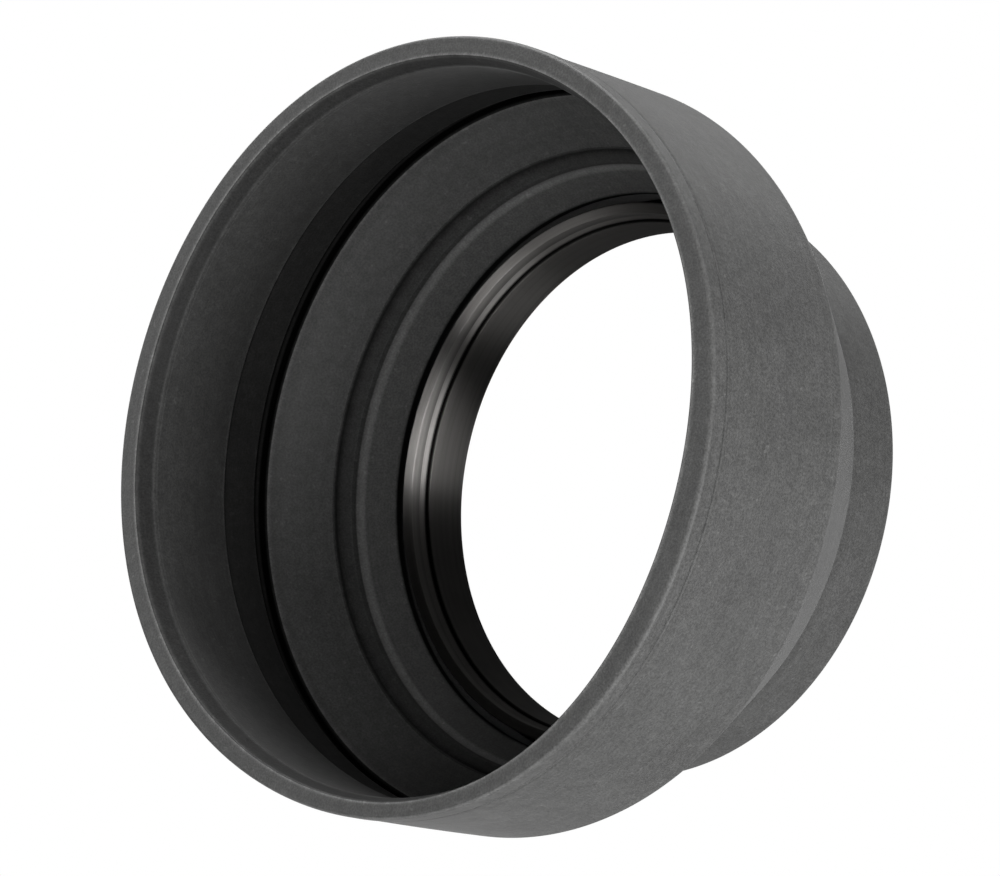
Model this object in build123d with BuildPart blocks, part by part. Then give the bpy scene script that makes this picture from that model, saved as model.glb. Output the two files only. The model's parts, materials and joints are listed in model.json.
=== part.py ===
from build123d import *
import os

# Three-position collapsible rubber lens hood on a screw-in metal ring. Millimetres.
# +Z runs along the optical axis, out of the lens towards the subject. The origin is the
# centre of the seat, the flat ring that stops against the front of the lens, and the
# thread that goes into the lens is below it. Every piece is a ring turned about Z, so
# each outline is drawn as (radius, height) on the XZ plane and revolved.
#
# Metal: a threaded mount ring and a retaining ring, which clamp the bead of the moulding.
# Rubber: one moulding. Its rigid stages (collar, middle band, front barrel with its root
# and lip) are joined by two conical webs that turn inside out when a stage is pushed back.

os.makedirs("parts", exist_ok=True)

# Driving dimensions
THREAD_DIAMETER = 58.0  # male filter thread, M58 x 0.75
THREAD_PITCH = 0.75
THREAD_LENGTH = 1.6
MOUTH_RADIUS = 36.3  # clear radius at the front edge
HOOD_HEIGHT = 39.4  # seat to front edge, hood extended
BARREL_RADIUS = 38.4  # outside of the front barrel
COLLAR_RADIUS = 30.8  # outside of the rubber collar
SHOULDER_HEIGHT = 19.7  # where the barrel's outside wall meets the outside cone

# Thread form
thread_radius = THREAD_DIAMETER / 2
thread_depth = 0.6134 * THREAD_PITCH
crest_flat = THREAD_PITCH / 8
root_flat = THREAD_PITCH / 4
first_groove = 0.5 * THREAD_PITCH  # from the seat down to the first groove's middle
groove_count = 2
lead_chamfer = 0.12

# Mount ring
bore_radius = thread_radius - 2.1
lead_bore_radius = thread_radius - 0.56  # the bore opens in a cone to the thread's end
bore_rear = 0.05
tube_radius = bore_radius + 0.9
tube_top = 5.35
flange_radius = thread_radius + 0.9
flange_thickness = 1.0

# Bead of the moulding, held between the flange and the retaining ring
bead_thickness = 1.6
bead_top = flange_thickness + bead_thickness
running_gap = 0.05

# Retaining ring
skirt_radius = thread_radius - 0.5
clamp_radius = flange_radius - 0.55
clamp_thickness = 0.9
parting_gap = 0.2  # between the top of the mount ring's tube and the retaining ring
face_inner_radius = bore_radius + 0.5
face_height = 7.55
face_rise = 0.35  # the front face climbs this much towards its outer edge
ledge_radius = bore_radius + 0.2
ledge_height = 6.3

# Rubber moulding: collar and the two cones of its tapered section
collar_inner_radius = thread_radius + 0.5
collar_rear = 0.05  # the rubber stops just short of the seat, so metal meets metal
undercut_radius = collar_inner_radius + 0.35  # hollow behind the collar's inner edge
undercut_height = 6.9
cone_slope = 1.688  # outside cone: height gained per unit of radius
front_cone_slope = 1.432  # inside cone of the front web
rear_cone_slope = 1.9  # inside cone of the rear web
rear_cone_foot = 7.7  # height of the inside rear cone at the collar's inner wall

# Stages: the moulding is divided by cylinders, so that each stage clears the next one
band_inner_radius = 31.8
band_outer_radius = 32.9
root_radius = BARREL_RADIUS - 1.5
thin_wall_radius = BARREL_RADIUS - 1.4  # inside of the thin wall behind the barrel
hinge_groove_radius = BARREL_RADIUS - 0.8  # bottom of the groove that the barrel folds at
hinge_groove_top = 22.0  # foot of the thin wall
hinge_groove_foot = 20.2  # outer edge of the front web
cone_rim_radius = 36.5  # where the web's edge turns into the front cone
cone_rim_height = 19.4
step_height = 26.9  # step from the thin wall to the thick barrel wall
barrel_step_radius = 36.3
barrel_throat_radius = 35.65  # the barrel's inside tapers to this, behind the lip
ridge_radius = 31.5  # small ridge inside, behind the middle hinge groove
lip_rear = 37.2
lip_ridge_height = 37.6
lip_radius = BARREL_RADIUS + 0.1
lip_groove = 0.3


def outside_cone(radius):
    """Height of the outside cone, which runs from the collar to the shoulder."""
    return SHOULDER_HEIGHT - (BARREL_RADIUS - radius) * cone_slope


def front_cone(radius):
    """Height of the inside cone of the front web."""
    return cone_rim_height - (cone_rim_radius - radius) * front_cone_slope


def rear_cone(radius):
    """Height of the inside cone of the rear web."""
    return rear_cone_foot + (radius - collar_inner_radius) * rear_cone_slope


def barrel_inside(height):
    """Inside radius of the thick barrel wall, which narrows towards the lip."""
    share = (height - step_height) / (lip_ridge_height - step_height)
    return barrel_step_radius + share * (barrel_throat_radius - barrel_step_radius)


def circles_at(part, radius, height):
    """Circular edges of a turned piece at one radius and height."""
    return [
        edge
        for edge in part.edges().filter_by(GeomType.CIRCLE)
        if abs(edge.radius - radius) < 0.01 and abs(edge.center().Z - height) < 0.01
    ]


def save(part, label):
    """Label a finished piece and write it."""
    part.label = label
    export_step(part, f"parts/{label}.step")


# Mount ring: the thread, the flange whose rear face is the seat, and the tube that the
# retaining ring screws onto
with BuildPart() as mount_ring:
    with BuildSketch(Plane.XZ):
        with BuildLine():
            Polyline(
                (lead_bore_radius, -THREAD_LENGTH),
                (thread_radius - lead_chamfer, -THREAD_LENGTH),
                (thread_radius, lead_chamfer - THREAD_LENGTH),
                (thread_radius, 0),
                (flange_radius, 0),
                (flange_radius, flange_thickness),
                (tube_radius, flange_thickness),
                (tube_radius, tube_top),
                (bore_radius, tube_top),
                (bore_radius, bore_rear),
                close=True,
            )
        make_face()
    revolve(axis=Axis.Z)
    chamfer(circles_at(mount_ring, bore_radius, tube_top), length=0.2)
    # the thread's turns, drawn as separate rings
    for turn in range(groove_count):
        groove_height = -first_groove - turn * THREAD_PITCH
        half_mouth = (THREAD_PITCH - crest_flat) / 2
        with BuildSketch(Plane.XZ):
            with BuildLine():
                Polyline(
                    (thread_radius, groove_height - half_mouth),
                    (thread_radius, groove_height + half_mouth),
                    (thread_radius - thread_depth, groove_height + root_flat / 2),
                    (thread_radius - thread_depth, groove_height - root_flat / 2),
                    close=True,
                )
            make_face()
        revolve(axis=Axis.Z, mode=Mode.SUBTRACT)
save(mount_ring.part, "mount_ring")

# Retaining ring: its skirt screws onto the mount ring's tube, its rear rim clamps the
# bead, and its bevelled front shows inside the hood
with BuildPart() as retaining_ring:
    with BuildSketch(Plane.XZ):
        with BuildLine():
            Polyline(
                (tube_radius + running_gap, bead_top),
                (clamp_radius, bead_top),
                (clamp_radius, bead_top + clamp_thickness),
                (skirt_radius, bead_top + clamp_thickness),
                (skirt_radius, face_height + face_rise),
                (face_inner_radius, face_height),
                (face_inner_radius, ledge_height),
                (ledge_radius, tube_top + parting_gap),
                (tube_radius + running_gap, tube_top + parting_gap),
                close=True,
            )
        make_face()
    revolve(axis=Axis.Z)
    fillet(circles_at(retaining_ring, skirt_radius, face_height + face_rise), radius=0.15)
    fillet(circles_at(retaining_ring, face_inner_radius, face_height), radius=0.15)
save(retaining_ring.part, "retaining_ring")

# Rear collar: the rubber sleeve around the metal rings, with the clamped bead at its foot
with BuildPart() as rear_collar:
    with BuildSketch(Plane.XZ):
        with BuildLine():
            Polyline(
                (tube_radius + running_gap, flange_thickness),
                (flange_radius + running_gap, flange_thickness),
                (flange_radius + running_gap, collar_rear),
                (COLLAR_RADIUS, collar_rear),
                (COLLAR_RADIUS, outside_cone(COLLAR_RADIUS)),
                (COLLAR_RADIUS, rear_cone(COLLAR_RADIUS)),
                (collar_inner_radius, rear_cone_foot),
                (collar_inner_radius, undercut_height),
                (undercut_radius, undercut_height),
                (undercut_radius, bead_top),
                (tube_radius + running_gap, bead_top),
                close=True,
            )
        make_face()
    revolve(axis=Axis.Z)
    fillet(circles_at(rear_collar, COLLAR_RADIUS, collar_rear), radius=0.3)
save(rear_collar.part, "rear_collar")

# Rear web: the thin cone from the collar out to the middle band
with BuildPart() as rear_web:
    with BuildSketch(Plane.XZ):
        with BuildLine():
            Polyline(
                (COLLAR_RADIUS, outside_cone(COLLAR_RADIUS)),
                (band_inner_radius, outside_cone(band_inner_radius)),
                (band_inner_radius, rear_cone(band_inner_radius) + 0.3),
                (ridge_radius, rear_cone(ridge_radius)),
                (COLLAR_RADIUS, rear_cone(COLLAR_RADIUS)),
                close=True,
            )
        make_face()
    revolve(axis=Axis.Z)
save(rear_web.part, "rear_web")

# Middle band: the stiff ring between the two webs, with the hinge groove moulded inside
with BuildPart() as middle_band:
    groove_lip_radius = band_outer_radius - 0.1
    groove_foot_radius = band_outer_radius - 0.35
    with BuildSketch(Plane.XZ):
        with BuildLine():
            Polyline(
                (band_inner_radius, outside_cone(band_inner_radius)),
                (band_outer_radius, outside_cone(band_outer_radius)),
                (band_outer_radius, front_cone(band_outer_radius)),
                (groove_lip_radius, front_cone(groove_lip_radius)),
                (groove_lip_radius, front_cone(groove_lip_radius) - 0.5),
                (groove_foot_radius, front_cone(groove_foot_radius) - 0.25),
                (band_inner_radius, rear_cone(band_inner_radius) + 0.3),
                close=True,
            )
        make_face()
    revolve(axis=Axis.Z)
save(middle_band.part, "middle_band")

# Front web: the wide cone from the middle band out to the foot of the barrel
with BuildPart() as front_web:
    with BuildSketch(Plane.XZ):
        with BuildLine():
            Polyline(
                (band_outer_radius, outside_cone(band_outer_radius)),
                (root_radius, outside_cone(root_radius)),
                (root_radius, hinge_groove_foot),
                (cone_rim_radius, cone_rim_height),
                (band_outer_radius, front_cone(band_outer_radius)),
                close=True,
            )
        make_face()
    revolve(axis=Axis.Z)
save(front_web.part, "front_web")

# Barrel root: the shoulder and the thin wall that carries the barrel, with the hinge
# groove between the two
with BuildPart() as barrel_root:
    with BuildSketch(Plane.XZ):
        with BuildLine():
            Polyline(
                (root_radius, outside_cone(root_radius)),
                (BARREL_RADIUS, SHOULDER_HEIGHT),
                (BARREL_RADIUS, step_height),
                (thin_wall_radius, step_height),
                (thin_wall_radius, hinge_groove_top),
                (hinge_groove_radius, hinge_groove_top - 0.4),
                (hinge_groove_radius, hinge_groove_foot + 0.1),
                (root_radius, hinge_groove_foot),
                close=True,
            )
        make_face()
    revolve(axis=Axis.Z)
    fillet(circles_at(barrel_root, BARREL_RADIUS, SHOULDER_HEIGHT), radius=0.8)
save(barrel_root.part, "barrel_root")

# Front barrel: the thick wall, stepped in behind, narrowing slightly towards the lip
with BuildPart() as front_barrel:
    with BuildSketch(Plane.XZ):
        with BuildLine():
            Polyline(
                (barrel_step_radius, step_height),
                (BARREL_RADIUS, step_height),
                (BARREL_RADIUS, lip_rear - lip_groove / 2),
                (BARREL_RADIUS - lip_groove, lip_rear),
                (barrel_inside(lip_rear), lip_rear),
                close=True,
            )
        make_face()
    revolve(axis=Axis.Z)
    fillet(circles_at(front_barrel, barrel_step_radius, step_height), radius=0.3)
save(front_barrel.part, "front_barrel")

# Front lip: the stiff bead around the mouth, bevelled inside, behind a fine groove
with BuildPart() as front_lip:
    with BuildSketch(Plane.XZ):
        with BuildLine():
            Polyline(
                (barrel_inside(lip_rear), lip_rear),
                (BARREL_RADIUS - lip_groove, lip_rear),
                (lip_radius, lip_rear + lip_groove),
                (lip_radius, HOOD_HEIGHT),
                (MOUTH_RADIUS, HOOD_HEIGHT),
                (barrel_throat_radius, lip_ridge_height),
                close=True,
            )
        make_face()
    revolve(axis=Axis.Z)
    fillet(circles_at(front_lip, lip_radius, HOOD_HEIGHT), radius=0.4)
    fillet(circles_at(front_lip, MOUTH_RADIUS, HOOD_HEIGHT), radius=0.2)
save(front_lip.part, "front_lip")
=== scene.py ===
import json
import math

import bpy
import numpy as np
from mathutils import Matrix, Vector


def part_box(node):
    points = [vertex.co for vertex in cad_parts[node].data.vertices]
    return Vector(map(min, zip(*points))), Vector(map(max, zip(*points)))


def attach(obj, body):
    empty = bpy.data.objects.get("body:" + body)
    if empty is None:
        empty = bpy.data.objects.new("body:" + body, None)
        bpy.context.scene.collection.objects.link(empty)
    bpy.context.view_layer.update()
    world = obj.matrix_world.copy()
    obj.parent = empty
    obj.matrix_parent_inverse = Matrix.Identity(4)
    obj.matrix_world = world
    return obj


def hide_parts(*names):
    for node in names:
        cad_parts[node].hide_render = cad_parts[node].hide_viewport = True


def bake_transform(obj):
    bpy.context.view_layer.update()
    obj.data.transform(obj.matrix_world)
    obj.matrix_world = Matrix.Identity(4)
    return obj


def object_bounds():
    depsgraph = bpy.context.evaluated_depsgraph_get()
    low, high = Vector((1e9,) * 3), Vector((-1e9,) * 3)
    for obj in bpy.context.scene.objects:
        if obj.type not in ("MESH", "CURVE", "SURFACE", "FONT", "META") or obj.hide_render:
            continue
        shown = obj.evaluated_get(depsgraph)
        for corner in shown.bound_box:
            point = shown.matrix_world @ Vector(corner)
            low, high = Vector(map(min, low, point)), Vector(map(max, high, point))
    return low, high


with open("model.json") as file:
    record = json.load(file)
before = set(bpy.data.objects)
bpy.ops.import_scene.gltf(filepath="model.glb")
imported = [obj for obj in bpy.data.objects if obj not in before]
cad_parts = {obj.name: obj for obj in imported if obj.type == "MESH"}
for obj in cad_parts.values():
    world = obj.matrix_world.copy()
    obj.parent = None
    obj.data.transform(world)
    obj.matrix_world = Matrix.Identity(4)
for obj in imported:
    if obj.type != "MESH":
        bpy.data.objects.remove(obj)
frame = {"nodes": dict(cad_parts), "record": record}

cad_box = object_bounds()

# Lens hood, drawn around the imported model. Every piece is turned about Z, so each one is
# the section of its CAD node, with its corners softened, revolved into a fine mesh.
# Lengths are in metres.

MM = 0.001
SEGMENTS = 360
SAME = 1e-6  # lengths that differ by less than this count as the same
DIGITS = 7  # places are rounded to this many digits, so that they can be looked up
METAL = ("mount_ring", "retaining_ring")
RUBBER = ("rear_collar", "rear_web", "middle_band", "front_web", "barrel_root",
          "front_barrel", "front_lip")
BODY_OF = {node: body for body, nodes in frame["record"]["behaviour"]["bodies"].items()
           for node in nodes}


# --- the CAD nodes' sections --------------------------------------------------------

def section(node):
    """Closed outline of a turned node, as (radius, height) points, counter-clockwise.

    The node's mesh has its seam in the half-plane y = 0, x > 0, and the outline is the
    chain of seam edges. A flat ring has no seam edge, so its two ends are joined.
    """
    mesh = frame["nodes"][node].data
    flat = {}
    for vertex in mesh.vertices:
        if abs(vertex.co.y) < SAME and vertex.co.x > 0:
            flat[vertex.index] = (round(vertex.co.x, DIGITS), round(vertex.co.z, DIGITS))
    links = {point: set() for point in flat.values()}
    for edge in mesh.edges:
        a, b = (flat.get(index) for index in edge.vertices)
        if a and b and a != b:
            links[a].add(b)
            links[b].add(a)
    ends = [point for point, near in links.items() if len(near) == 1]
    for a in ends:
        level = [b for b in ends if b != a and abs(b[1] - a[1]) < SAME]
        if level and len(links[a]) == 1:
            b = min(level, key=lambda point: abs(point[0] - a[0]))
            links[a].add(b)
            links[b].add(a)
    start = min(links)
    outline, last = [start], None
    while True:
        here = outline[-1]
        onward = [point for point in links[here] if point != last]
        last = here
        if onward[0] == start or len(outline) > len(links):
            break
        outline.append(onward[0])
    area = sum(a[0] * b[1] - b[0] * a[1] for a, b in zip(outline, outline[1:] + outline[:1]))
    return outline if area > 0 else outline[::-1]


SECTIONS = {node: section(node) for node in METAL + RUBBER}

# Male filter thread, M58 x 0.75. The CAD node has plain ring grooves in its place.
THREAD_PITCH = 0.75 * MM
THREAD_DEPTH = 0.6134 * THREAD_PITCH
THREAD_CREST = 29.0 * MM
ROOT_EDGE, CREST_EDGE = 1 / 8, 1 / 2 - 1 / 16  # pitches from the middle of a groove
FIRST_GROOVE = -0.5 * THREAD_PITCH
RUN_OUT = 0.35 * MM


def without_grooves(outline):
    """The mount ring's outline with its ring grooves filled up to the thread's crest."""
    on_crest = [z for r, z in outline if abs(r - THREAD_CREST) < SAME]
    foot, top = min(on_crest), max(on_crest)
    return [(r, z) for r, z in outline
            if not (foot < z < top and r > THREAD_CREST - THREAD_DEPTH - SAME)]


SECTIONS["mount_ring"] = without_grooves(SECTIONS["mount_ring"])


# --- outline work --------------------------------------------------------------------

TOUCH = 0.002 * MM  # places of two pieces that are closer than this touch
STEP = 0.8 * MM
CORNER_STEPS = (0.12 * MM, 0.25 * MM, 0.4 * MM, 0.6 * MM, 0.9 * MM)
LEAST_STEP = 0.05 * MM
THREAD_STEP = 0.04 * MM
SOFT_TURN = math.radians(20)  # corners that turn less than this stay as they are
MOST_OF_SIDE = 0.42  # how much of a straight side an arc may take up
ARC_POINTS = 5


def on_line(point, a, b):
    """True where a point lies on the straight stretch from a to b."""
    point, a, b = Vector(point), Vector(a), Vector(b)
    share = (point - a).dot(b - a) / (b - a).length_squared
    return (a + min(max(share, 0), 1) * (b - a) - point).length < TOUCH


def is_seam(point, node):
    """True where a rubber piece touches another piece of the same moulding."""
    return node in RUBBER and any(
        on_line(point, a, b) for other in RUBBER if other != node
        for a, b in zip(SECTIONS[other], SECTIONS[other][1:] + SECTIONS[other][:1]))


def turn_between(before, after):
    """How far an outline turns at a corner, in radians. Positive is convex."""
    return math.atan2(before.x * after.y - before.y * after.x, before.dot(after))


def skin_corners(nodes):
    """The corners of several pieces taken as one, as (place, turn). Faces where two of the
    pieces meet are left out."""
    faces = []
    for node in nodes:
        outline = SECTIONS[node]
        for a, b in zip(outline, outline[1:] + outline[:1]):
            cuts = [corner for other in nodes if other != node for corner in SECTIONS[other]
                    if on_line(corner, a, b)]
            stops = sorted([a, b] + cuts, key=lambda point: math.dist(point, a))
            for start, end in zip(stops, stops[1:]):
                middle = ((start[0] + end[0]) / 2, (start[1] + end[1]) / 2)
                if math.dist(start, end) > TOUCH and not is_seam(middle, node):
                    faces.append((Vector(start), Vector(end)))
    return [(end, turn_between(end - start, onward - next_start)) for start, end in faces
            for next_start, onward in faces if (next_start - end).length < TOUCH]


def soften(node, radius):
    """The node's outline, as points, with a small arc at every free corner."""
    outline = SECTIONS[node]
    points = []
    for index, point in enumerate(outline):
        here = Vector(point)
        to_last = Vector(outline[index - 1]) - here
        to_next = Vector(outline[(index + 1) % len(outline)]) - here
        turn = abs(turn_between(-to_last, to_next))
        if is_seam(point, node) or turn < SOFT_TURN:
            points.append(point)
            continue
        reach = min(radius * math.tan(turn / 2), MOST_OF_SIDE * to_last.length,
                    MOST_OF_SIDE * to_next.length)
        a, b = here + to_last.normalized() * reach, here + to_next.normalized() * reach
        for step in range(ARC_POINTS):
            t = step / (ARC_POINTS - 1)
            bend = a * (1 - t) ** 2 + here * (2 * t * (1 - t)) + b * t ** 2
            points.append((bend.x, bend.y))
    return points


def divide(points):
    """Adds points along the straight stretches: closely near corners and on the thread."""
    fine = []
    for a, b in zip(points, points[1:] + points[:1]):
        length = math.dist(a, b)
        threaded = max(a[1], b[1]) <= 0 and min(a[0], b[0]) > THREAD_CREST - THREAD_DEPTH
        count = max(1, math.ceil(length / (THREAD_STEP if threaded else STEP)))
        stops = [k * length / count for k in range(count)]
        for gap in CORNER_STEPS if not threaded else ():
            stops += [stop for stop in (gap, length - gap) if 0 < stop < length]
        last = -1.0
        for stop in sorted(stops):
            if stop == 0 or min(stop - last, length - stop) > LEAST_STEP or threaded:
                t = stop / length
                fine.append(((1 - t) * a[0] + t * b[0], (1 - t) * a[1] + t * b[1]))
                last = stop
    return fine


# --- meshes ----------------------------------------------------------------------------

# The moulding is soft and stands a little out of round at its mouth. Each pair is an
# amount in millimetres and a phase in degrees, for two, three and four waves round.
OUTSIDE_WAVES = ((0.51, 196), (0.19, -12), (0.16, 155))
INSIDE_WAVES = ((0.06, 156), (0.24, -74), (0.25, 151))


def waves(amounts, angle):
    """The sum of two, three and four waves round the hood, in millimetres."""
    return sum(amount * np.cos(count * angle - math.radians(phase))
               for count, (amount, phase) in enumerate(amounts, start=2))


def out_of_round(radius, height, angle):
    """Moves the moulding off a true circle: not at all at the collar, most at the lip."""
    low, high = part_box("rear_collar")[1].z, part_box("front_lip")[1].z
    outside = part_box("front_lip")[1].x
    inside = min(r for r, _ in SECTIONS["front_lip"])
    through = np.clip((radius - inside) / (outside - inside), 0, 1)
    share = np.clip((height - low) / (high - low), 0, 1) ** 2
    inner, outer = waves(INSIDE_WAVES, angle), waves(OUTSIDE_WAVES, angle)
    return radius + ((1 - through) * inner + through * outer) * share * MM


def thread(radius, height, angle):
    """Cuts the right-handed thread, flat at root and crest, running out at the seat."""
    turns = (height - FIRST_GROOVE) / THREAD_PITCH - angle / (2 * math.pi)
    from_groove = np.abs(turns - np.round(turns))
    flank = np.clip((CREST_EDGE - from_groove) / (CREST_EDGE - ROOT_EDGE), 0, 1)
    cut = THREAD_CREST - THREAD_DEPTH * flank * np.clip(-height / RUN_OUT, 0, 1)
    outside = (height < 0) & (radius > THREAD_CREST - THREAD_DEPTH)
    return np.where(outside, np.minimum(radius, cut), radius)


# How pale each piece of the rubber is painted, against the outside wall of the barrel:
# painted light and shade. The walls near the mouth are painted darker inside, a painted
# shade, and the cones are painted paler, a painted light.
INSIDE_LIGHT_AND_SHADE = {"front_lip": 0.27, "front_barrel": 0.47, "barrel_root": 0.27, "front_web": 1.18,
          "middle_band": 0.72, "rear_web": 1.48, "rear_collar": 1.48}
COLLAR_PAINTED_SHADE = 0.87  # the outside of the collar, painted darker: painted shade
RIM_PAINTED_LIGHT = 0.33  # the face of the rim, painted paler where it faces forward: painted light
CONE_PAINTED_LIGHT = 0.07  # the outside cone, painted paler: painted light
CONE_LEAN = 0.5  # a face that leans back this much or more has the cone's painted light in full
BAND_FOOT = 11.9 * MM  # the painted shade of the middle band reaches down to here inside
SEAM_SHARE = 0.001  # how much a hidden face, next to a seam, counts in a point's paleness

# A face counts as inside where its inward lean is above this. On the lip, the rounded edge
# of the rim leans inward a little and is outside all the same.
INWARD_LEAN, LIP_INWARD_LEAN = -0.3, 0.3

# Painted highlights inside, lines painted lighter, as (radius, height, reach, extra): the
# ridge below the band, the ridge at the foot of the lip and the inner edge of the rim
RIDGE_HIGHLIGHTS = ((31.45 * MM, 11.4 * MM, 0.6 * MM, 1.1), (35.65 * MM, 37.5 * MM, 0.4 * MM, 0.8),
          (36.4 * MM, 39.4 * MM, 0.35 * MM, 0.5))

METAL_OF = {"retaining_ring": 1.0, "mount_ring": 0.5}  # the bore is blacker than the face
LEDGE = (5.5 * MM, 6.3 * MM)  # heights of the ledge inside the retaining ring, painted brighter: a painted highlight
# how much brighter the ledge is painted, a painted highlight
LEDGE_HIGHLIGHT = 0.7

OUTSIDE_SHARE = 0.2  # how much of the worn edges and painted highlights, and of the painted shade of dark lines, the outside shows
# the metal's edges are painted lighter: partly worn, partly a painted highlight
METAL_WEAR_AND_HIGHLIGHT = 0.3
CREVICE_OF = {"middle_band": 0.6, "front_web": 0.6}  # their corners are open, so they get less painted shade

WEAR_AND_HIGHLIGHT_REACH = 0.4 * MM
CREVICE_REACH = 0.8 * MM
FULL_TURN = math.radians(60)  # a corner that turns this much is fully worn and highlighted, or fully in painted shade

# The two gaps around the retaining ring, as (radius, height, reach): light hardly gets in, so
# they are painted dark, a painted shade, in full over the inner two thirds of the reach.
GAPS = ((29.0 * MM, 7.0 * MM, 1.15 * MM), (27.25 * MM, 5.45 * MM, 0.42 * MM))
GAP_FADE = 1 / 3

RUBBER_CORNERS = skin_corners(RUBBER)


def near_corners(r, z, corners, reach):
    """How much the outline turns within reach of each point, from 0 to 1."""
    total = np.zeros(len(r))
    for corner, turn in corners:
        distance = np.hypot(r - corner.x, z - corner.y) / reach
        total += abs(turn) * np.clip(1 - distance ** 2, 0, 1) ** 2
    return np.clip(total / FULL_TURN, 0, 1)


def paleness_and_painted_light(node, r, z):
    """The painted light and shade of each point of an outline, by the way it is turned."""
    step_r, step_z = np.roll(r, -1) - r, np.roll(z, -1) - z
    length = np.hypot(step_r, step_z)
    inward, forward = -step_z / length, -step_r / length
    inside = inward > (LIP_INWARD_LEAN if node == "front_lip" else INWARD_LEAN)
    # inside faces: painted shade near the mouth, painted light on the cones
    within = np.full(len(r), INSIDE_LIGHT_AND_SHADE[node])
    if node == "rear_web":
        within[z > BAND_FOOT] = INSIDE_LIGHT_AND_SHADE["middle_band"]
    # outside faces: painted light on the rim's face and the outside cone, painted shade on the
    # collar
    without = np.where(forward > 0, 1 + RIM_PAINTED_LIGHT * forward ** 4,
                       1 + CONE_PAINTED_LIGHT * np.clip(-forward / CONE_LEAN, 0, 1))
    value = np.where(inside, within, without * (COLLAR_PAINTED_SHADE if node == "rear_collar" else 1.0))
    # painted highlights along the ridges and the rim's inner edge
    for ridge_r, ridge_z, reach, extra in RIDGE_HIGHLIGHTS:
        distance = np.hypot(r - ridge_r, z - ridge_z) / reach
        value = value * (1 + extra * np.clip(1 - distance ** 2, 0, 1))
    middle = zip(r + step_r / 2, z + step_z / 2)
    seen = np.array([SEAM_SHARE if is_seam(point, node) else 1.0 for point in middle])
    last_value, last_seen = np.roll(value, 1), np.roll(seen, 1)
    return (value * seen + last_value * last_seen) / (seen + last_seen)


def marks(node, r, z):
    """Each point's worn edge with painted highlight, painted shade in crevices, and paleness
    with painted light.
    """
    corners = RUBBER_CORNERS if node in RUBBER else skin_corners([node])
    # convex corners are painted lighter: partly worn, partly a painted highlight
    wear_and_highlight = near_corners(r, z, [corner for corner in corners if corner[1] > 0], WEAR_AND_HIGHLIGHT_REACH)
    # concave corners and the gaps are painted dark: painted shade
    crevice_shade = near_corners(r, z, [corner for corner in corners if corner[1] < 0], CREVICE_REACH)
    for gap_r, gap_z, reach in GAPS:
        distance = np.hypot(r - gap_r, z - gap_z) / reach
        crevice_shade = np.maximum(crevice_shade, np.clip((1 - distance) / GAP_FADE, 0, 1))
    if node in METAL:
        # the ledge gets a painted highlight
        on_ledge = (z > LEDGE[0]) & (z < LEDGE[1]) & (node == "retaining_ring")
        return METAL_WEAR_AND_HIGHLIGHT * wear_and_highlight, crevice_shade, METAL_OF[node] * (1 + LEDGE_HIGHLIGHT * on_ledge)
    outward = np.roll(z, -1) - np.roll(z, 1) > 0
    share = np.where(outward, OUTSIDE_SHARE, 1.0)
    return wear_and_highlight * share, crevice_shade * share * CREVICE_OF.get(node, 1.0), paleness_and_painted_light(node, r, z)


def lathe(node, points, shape=None):
    """Revolves an outline into a closed mesh object, with its marks stored on its points.

    A shape, where one is given, is a function that moves the radius of every point.
    """
    r, z = np.array(points).T
    seam = np.array([is_seam(point, node) for point in points])
    wear_and_highlight, crevice_shade, pale = marks(node, r, z)
    angle = np.arange(SEGMENTS) * (2 * math.pi / SEGMENTS)
    radius = np.repeat(r[:, None], SEGMENTS, 1)
    height = np.repeat(z[:, None], SEGMENTS, 1)
    theta = np.repeat(angle[None, :], len(r), 0)
    if shape:
        radius = shape(radius, height, theta)
    co = np.stack((radius * np.cos(theta), radius * np.sin(theta), height), -1)
    k, j = np.meshgrid(np.arange(len(r)), np.arange(SEGMENTS), indexing="ij")
    k_next, j_next = (k + 1) % len(r), (j + 1) % SEGMENTS
    faces = np.stack((k * SEGMENTS + j, k * SEGMENTS + j_next,
                      k_next * SEGMENTS + j_next, k_next * SEGMENTS + j), -1)
    mesh = bpy.data.meshes.new(node)
    mesh.from_pydata(co.reshape(-1, 3).tolist(), [], faces.reshape(-1, 4).tolist())
    mesh.shade_smooth()
    ring = np.array([edge.vertices[:] for edge in mesh.edges]) // SEGMENTS
    on_seam = (ring[:, 0] == ring[:, 1]) & seam[ring[:, 0]]
    sharp = mesh.attributes.new("sharp_edge", "BOOLEAN", "EDGE")
    sharp.data.foreach_set("value", on_seam)
    # stored on the points: worn edges with painted highlights, painted shade in crevices, and
    # paleness with painted light and shade
    for name, values in (("wear_and_highlight", wear_and_highlight), ("crevice_shade", crevice_shade), ("paleness_and_painted_light", pale)):
        mesh.attributes.new(name, "FLOAT", "POINT").data.foreach_set(
            "value", np.repeat(values, SEGMENTS).astype(np.float32))
    mesh.attributes.new("rest", "FLOAT_VECTOR", "POINT").data.foreach_set(
        "vector", co.ravel().astype(np.float32))
    piece = bpy.data.objects.new(node + "_surface", mesh)
    bpy.context.scene.collection.objects.link(piece)
    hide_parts(node)
    return piece


def fold(piece, node, inner_body, outer_body):
    """Bakes the web's placement into its mesh and reads its points."""
    outline = SECTIONS[node]
    inner, outer = min(r for r, _ in outline), max(r for r, _ in outline)
    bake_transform(piece)
    co = np.zeros(len(piece.data.vertices) * 3)
    piece.data.vertices.foreach_get("co", co)


# --- build ------------------------------------------------------------------------------

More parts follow.
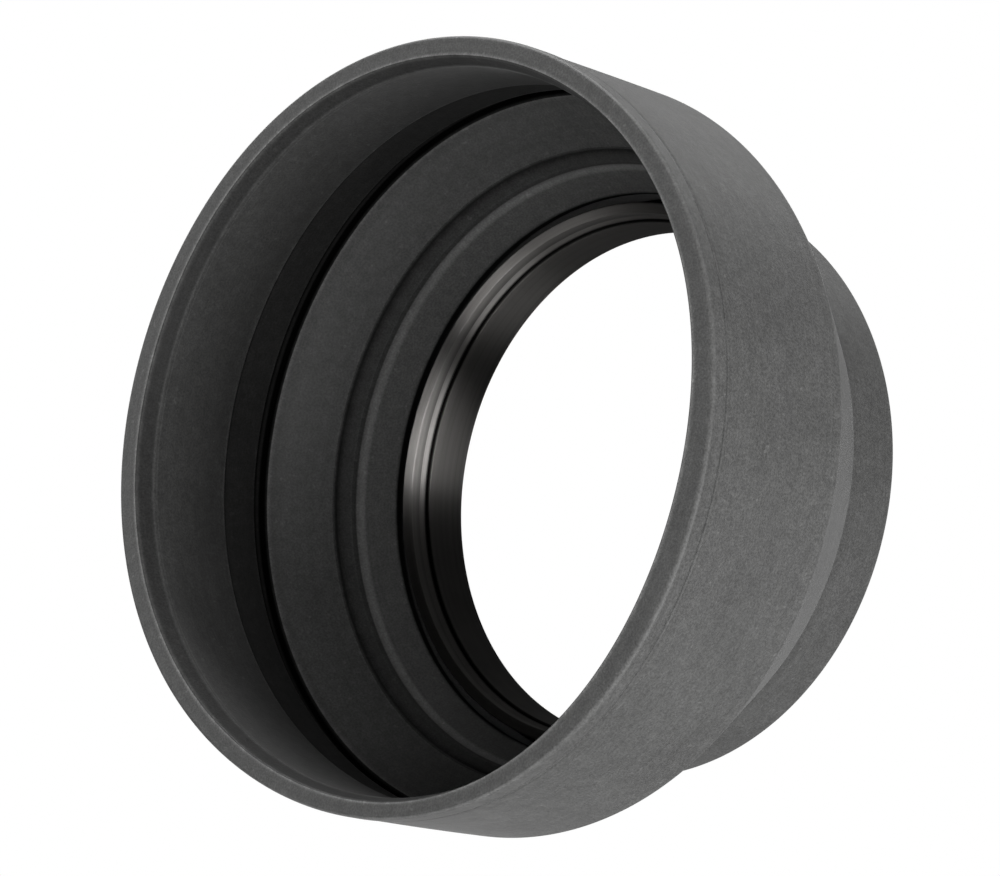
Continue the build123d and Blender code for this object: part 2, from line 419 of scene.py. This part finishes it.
RUBBER_EDGE = 0.25 * MM  # radius of a softened corner
METAL_EDGE = 0.1 * MM
WEBS = {"rear_web": ("mount", "middle"), "front_web": ("middle", "front")}
pieces = {}
for node in RUBBER:
    piece = lathe(node, divide(soften(node, RUBBER_EDGE)), out_of_round)
    if node in WEBS:
        fold(piece, node, *WEBS[node])
    else:
        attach(piece, BODY_OF[node])
    pieces[node] = piece
for node in METAL:
    shape = thread if node == "mount_ring" else None
    piece = lathe(node, divide(soften(node, METAL_EDGE)), shape)
    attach(piece, BODY_OF[node])
    pieces[node] = piece


# --- materials ----------------------------------------------------------------------------

# How much light each material sends back, its tint, and the share left in a dark line of
# painted shade
RUBBER_SHADE, RUBBER_TINT, RUBBER_CREVICE_SHADE = 0.05, (1.0, 1.0, 0.985), 0.05
METAL_SHADE, METAL_TINT, METAL_CREVICE_SHADE = 0.17, (1.0, 0.965, 0.93), 0.08


def add(tree, kind, inputs=None, **settings):
    """Adds a shader node. Each input takes a value or another node's output."""
    node = tree.nodes.new("ShaderNode" + kind)
    for name, value in settings.items():
        setattr(node, name, value)
    for name, value in (inputs or {}).items():
        if isinstance(value, bpy.types.NodeSocket):
            tree.links.new(value, node.inputs[name])
        else:
            node.inputs[name].default_value = value
    return node


def new_material(name):
    material = bpy.data.materials.new(name)
    material.use_nodes = True
    material.node_tree.nodes.clear()
    return material, material.node_tree


def math_node(tree, operation, a, b=0.0):
    return add(tree, "Math", {0: a, 1: b}, operation=operation).outputs[0]


def times(tree, first, *others):
    """The product of several values or outputs."""
    for other in others:
        first = math_node(tree, "MULTIPLY", first, other)
    return first


def stored(tree, name):
    """A number that the mesh carries on its points."""
    return add(tree, "Attribute", attribute_name=name).outputs["Fac"]


def noise(tree, vector, size, detail=2.0, roughness=0.5):
    """Smooth noise around 0.5 whose features are about size metres across."""
    return add(tree, "TexNoise", {"Vector": vector, "Scale": 1 / size, "Detail": detail,
                                  "Roughness": roughness}).outputs["Fac"]


def remap(tree, value, low, high, to_low, to_high):
    return add(tree, "MapRange", {"Value": value, "From Min": low, "From Max": high,
                                  "To Min": to_low, "To Max": to_high}).outputs["Result"]


def vary(tree, pattern, amount, low=0.3, high=0.7):
    """A factor around 1 that follows a noise pattern up and down by the amount."""
    return remap(tree, pattern, low, high, 1 - amount, 1 + amount)


def grey(tree, value, tint):
    """A colour of the given brightness and tint."""
    colour = add(tree, "CombineColor", {"Red": value, "Green": value, "Blue": value})
    return add(tree, "Mix", {"Factor": 1.0, "A": colour.outputs[0], "B": (*tint, 1.0)},
               data_type="RGBA", blend_type="MULTIPLY")


def rest_place(tree):
    """The point's place at rest, so that the pattern stays put when a web folds."""
    return add(tree, "Attribute", attribute_name="rest").outputs["Vector"]


def turned_place(tree, place, drift):
    """(radius, height, 0) plus a little of the angle: a pattern of rings about the axis."""
    split = add(tree, "SeparateXYZ", {0: place})
    x, y, z = split.outputs
    squares = math_node(tree, "ADD", times(tree, x, x), times(tree, y, y))
    radius = math_node(tree, "SQRT", squares)
    around = times(tree, math_node(tree, "ARCTAN2", y, x), drift)
    return add(tree, "CombineXYZ", {0: radius, 1: z, 2: around}).outputs[0]


def rubber_material():
    """Matt moulded rubber: fine grain, cloudy patches, faint rings from the turned mould, a few
    specks of dust, and edges worn lighter, partly a painted highlight. Its colour also carries
    painted shade in crevices and the painted light and shade of each zone."""
    material, tree = new_material("grey_rubber")
    place = rest_place(tree)
    grain = noise(tree, place, 0.22 * MM, 2.0, 0.6)
    cloud = noise(tree, place, 7 * MM, 3.0, 0.55)
    mottle = noise(tree, place, 1.1 * MM)
    mould = noise(tree, turned_place(tree, place, 0.3 * MM), 0.35 * MM, 1.0)
    specks = noise(tree, place, 0.6 * MM, 0.0)
    # edges painted lighter: partly worn, partly a painted highlight
    rubbed_and_highlighted = times(tree, stored(tree, "wear_and_highlight"), remap(tree, mottle, 0.3, 0.7, 0.5, 1.0))

    # painted shade in crevices and in the gaps
    in_crevice = remap(tree, stored(tree, "crevice_shade"), 0.0, 1.0, 1.0, RUBBER_CREVICE_SHADE)
    # painted crevice shade times the paleness, with its painted light and shade
    pale = times(tree, in_crevice, stored(tree, "paleness_and_painted_light"))
    shade = times(tree, vary(tree, cloud, 0.06), pale)
    for pattern, amount in ((mottle, 0.10), (grain, 0.28), (mould, 0.05)):
        shade = times(tree, shade, vary(tree, pattern, amount, 0.35, 0.65))
    shade = times(tree, shade, remap(tree, rubbed_and_highlighted, 0.0, 1.0, 1.0, 1.8),
                  remap(tree, specks, 0.76, 0.84, 1.0, 1.4), RUBBER_SHADE)
    colour = grey(tree, shade, RUBBER_TINT)

    rough = math_node(tree, "ADD", remap(tree, cloud, 0.3, 0.7, 0.62, 0.72),
                      remap(tree, grain, 0.3, 0.7, -0.04, 0.04))
    rough = math_node(tree, "SUBTRACT", rough, times(tree, rubbed_and_highlighted, 0.08))

    bump = add(tree, "Bump", {"Height": mould, "Distance": 0.02 * MM, "Strength": 0.35})
    for pattern, depth, strength in ((mottle, 0.06 * MM, 0.35), (grain, 0.05 * MM, 0.6)):
        bump = add(tree, "Bump", {"Height": pattern, "Distance": depth, "Strength": strength,
                                  "Normal": bump.outputs[0]})
    # the specular and the sheen are scaled by the same painted light and shade
    surface = add(tree, "BsdfPrincipled", {
        "Base Color": colour.outputs["Result"], "Roughness": rough, "IOR": 1.5,
        "Specular IOR Level": times(tree, pale, 0.45), "Sheen Weight": times(tree, pale, 0.12),
        "Sheen Roughness": 0.4, "Normal": bump.outputs[0]})
    add(tree, "OutputMaterial", {"Surface": surface.outputs[0]})
    return material


def anodised_material():
    """Black anodised aluminium, satin, with the fine rings that turning leaves. Its colour also
    carries painted shade in crevices and gaps, edges worn lighter, partly a painted highlight,
    and a painted highlight on the ledge.
    """
    material, tree = new_material("black_anodised")
    place = rest_place(tree)
    fine_rings = noise(tree, turned_place(tree, place, 0.05 * MM), 0.07 * MM, 2.0, 0.6)
    wide_rings = noise(tree, turned_place(tree, place, 0.4 * MM), 0.5 * MM, 1.0)
    haze = noise(tree, place, 3 * MM, 3.0, 0.6)
    dust = noise(tree, place, 0.12 * MM, 1.0)
    # edges painted lighter: partly worn, partly a painted highlight
    rubbed_and_highlighted = times(tree, stored(tree, "wear_and_highlight"), remap(tree, haze, 0.35, 0.65, 0.3, 1.0))

    shade = times(tree, vary(tree, wide_rings, 0.1), vary(tree, fine_rings, 0.1),
                  remap(tree, rubbed_and_highlighted, 0.0, 1.0, 1.0, 1.6), METAL_SHADE)
    shade = math_node(tree, "ADD", shade, remap(tree, dust, 0.68, 0.8, 0.0, 0.05))
    # painted shade in crevices and in the gaps round the retaining ring
    in_crevice = remap(tree, stored(tree, "crevice_shade"), 0.0, 1.0, 1.0, METAL_CREVICE_SHADE)
    # the bore's darker tone, the ledge's painted highlight and the painted shade in gaps
    colour = grey(tree, times(tree, shade, in_crevice, stored(tree, "paleness_and_painted_light")), METAL_TINT)

    rough = math_node(tree, "ADD", remap(tree, haze, 0.3, 0.7, 0.41, 0.47),
                      remap(tree, fine_rings, 0.3, 0.7, -0.04, 0.04))
    bump = add(tree, "Bump", {"Height": wide_rings, "Distance": 0.01 * MM, "Strength": 0.3})
    tangent = add(tree, "Tangent", direction_type="RADIAL", axis="Z")
    surface = add(tree, "BsdfPrincipled", {
        "Base Color": colour.outputs["Result"], "Metallic": 1.0, "Roughness": rough,
        "Anisotropic": 1.0, "Anisotropic Rotation": 0.25, "Tangent": tangent.outputs[0],
        "Normal": bump.outputs[0]})
    add(tree, "OutputMaterial", {"Surface": surface.outputs[0]})
    return material


rubber = rubber_material()
metal = anodised_material()
for node in RUBBER:
    pieces[node].data.materials.append(rubber)
for node in METAL:
    pieces[node].data.materials.append(metal)


# --- floor, light and camera ----------------------------------------------------------------

# How brightly the white floor and the white world light the object, against how they look
FLOOR_GLOW = 0.12
WORLD_GLOW = 0.02
FLOOR_HALF = 3.0


def seen_or(tree, glow):
    """1 for what the camera sees, and the given amount for light that falls on the object."""
    is_seen = add(tree, "LightPath").outputs["Is Camera Ray"]
    return remap(tree, is_seen, 0.0, 1.0, glow, 1.0)


def glowing_floor():
    """A white floor, at the lowest place that the hood reaches, at rest or folded."""
    travel = sum(joint["range_m"][0] for joint in frame["record"]["behaviour"]["joints"])
    lowest = min(cad_box[0].z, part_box("barrel_root")[0].z + travel)
    corners = [(x * FLOOR_HALF, y * FLOOR_HALF, lowest)
               for x, y in ((-1, -1), (1, -1), (1, 1), (-1, 1))]
    mesh = bpy.data.meshes.new("floor")
    mesh.from_pydata(corners, [], [(0, 1, 2, 3)])
    material, tree = new_material("floor_white")
    emission = add(tree, "Emission", {"Strength": seen_or(tree, FLOOR_GLOW)})
    add(tree, "OutputMaterial", {"Surface": emission.outputs[0]})
    mesh.materials.append(material)
    floor = bpy.data.objects.new("floor", mesh)
    bpy.context.scene.collection.objects.link(floor)


def pale_world():
    """A white background."""
    world = bpy.data.worlds.new("studio")
    bpy.context.scene.world = world
    world.use_nodes = True
    tree = world.node_tree
    background = tree.nodes["Background"]
    background.inputs["Color"].default_value = (1, 1, 1, 1)
    tree.links.new(seen_or(tree, WORLD_GLOW), background.inputs["Strength"])


glowing_floor()
pale_world()

# Camera: the angle between the hood's axis and the line of sight, the tilt of that axis
# in the picture, and the mouth's centre as seen from the camera, in mouth radii
OFF_AXIS = math.radians(43.0)
AXIS_TILT = math.radians(13.5)
MOUTH_RADIUS = 36.3 * MM
MOUTH_FROM_CAMERA = (-0.2826, -0.0411, 8.248)  # right, down, forward
LENS_MM = 112.4
SENSOR_MM = 36.0
NEAREST, FARTHEST = 0.01, 20.0  # what the camera can see

mouth = Vector((0, 0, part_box("front_lip")[1].z))
forward = Vector((0, math.sin(OFF_AXIS), -math.cos(OFF_AXIS)))
slope = Vector((0, -math.cos(OFF_AXIS), -math.sin(OFF_AXIS)))
right = math.cos(AXIS_TILT) * slope + math.sin(AXIS_TILT) * Vector((1, 0, 0))
down = math.sin(AXIS_TILT) * slope - math.cos(AXIS_TILT) * Vector((1, 0, 0))
offset = sum((axis * amount for axis, amount in zip((right, down, forward), MOUTH_FROM_CAMERA)),
             Vector((0, 0, 0)))
camera_data = bpy.data.cameras.new("camera")
camera_data.lens = LENS_MM
camera_data.sensor_width = SENSOR_MM
camera_data.clip_start = NEAREST
camera_data.clip_end = FARTHEST
camera = bpy.data.objects.new("camera", camera_data)
camera.matrix_world = Matrix.Translation(mouth - offset * MOUTH_RADIUS) @ Matrix(
    (right, -down, -forward)).transposed().to_4x4()
bpy.context.scene.collection.objects.link(camera)
bpy.context.scene.camera = camera
bpy.context.scene.view_settings.view_transform = "Standard"

# Lights round the object: degrees off the line of sight, degrees round it (0 is to the
# right, 90 is up), watts, width and height. Round soft boxes light the rubber. The satin
# metal has lights to itself: a tall window, whose reflection lies along one side of the
# rings, and three weaker boxes from the left, which fill the rest of them.
SOFT_BOX = (0.25, 0.25)
RUBBER_LIGHTS = {
    "key": (50, 314, 6.3, SOFT_BOX),
    "side": (34, 334, 2.9, SOFT_BOX),
    "front": (0, 0, 0.94, SOFT_BOX),
    "into_mouth": (18, 194, 0.51, SOFT_BOX),
    "below_left": (85, 245, 1.8, SOFT_BOX),
    "low_left": (66, 245, 0.7, SOFT_BOX),
    "low": (50, 254, 0.4, SOFT_BOX),
    "top_right": (66, 65, 2.3, SOFT_BOX),
    "behind_top": (105, 104, 6.2, SOFT_BOX),
    "behind_left": (105, 164, 0.7, SOFT_BOX),
}
METAL_LIGHTS = {
    "window": (29, 313, 30.0, (0.22, 1.0)),
    "far_left": (84, 205, 0.25, (0.5, 0.5)),
    "left": (66, 214, 0.8, (0.5, 0.5)),
    "near_left": (50, 250, 3.0, (0.4, 0.4)),
}
BOX_DISTANCE = 0.7
AIM = Vector((0, 0, 22 * MM))


def light_up(lights, nodes, label):
    """Adds the lights, which fall on the pieces of the given nodes only."""
    lit = bpy.data.collections.new(label)
    for node in nodes:
        lit.objects.link(pieces[node])
    for name, (off_sight, round_sight, watts, (width, height)) in lights.items():
        off_sight, round_sight = math.radians(off_sight), math.radians(round_sight)
        across = math.cos(round_sight) * right - math.sin(round_sight) * down
        direction = math.sin(off_sight) * across - math.cos(off_sight) * forward
        side = (-down).cross(direction).normalized()
        light = bpy.data.lights.new(name, "AREA")
        light.shape = "RECTANGLE" if width != height else "DISK"
        light.size = width
        light.size_y = height
        light.energy = watts
        box = bpy.data.objects.new(name, light)
        box.matrix_world = (Matrix.Translation(AIM + BOX_DISTANCE * direction) @ Matrix(
            (side, direction.cross(side), direction)).transposed().to_4x4())
        box.light_linking.receiver_collection = lit
        bpy.context.scene.collection.objects.link(box)


light_up(RUBBER_LIGHTS, RUBBER, "lit_rubber")
light_up(METAL_LIGHTS, METAL, "lit_metal")
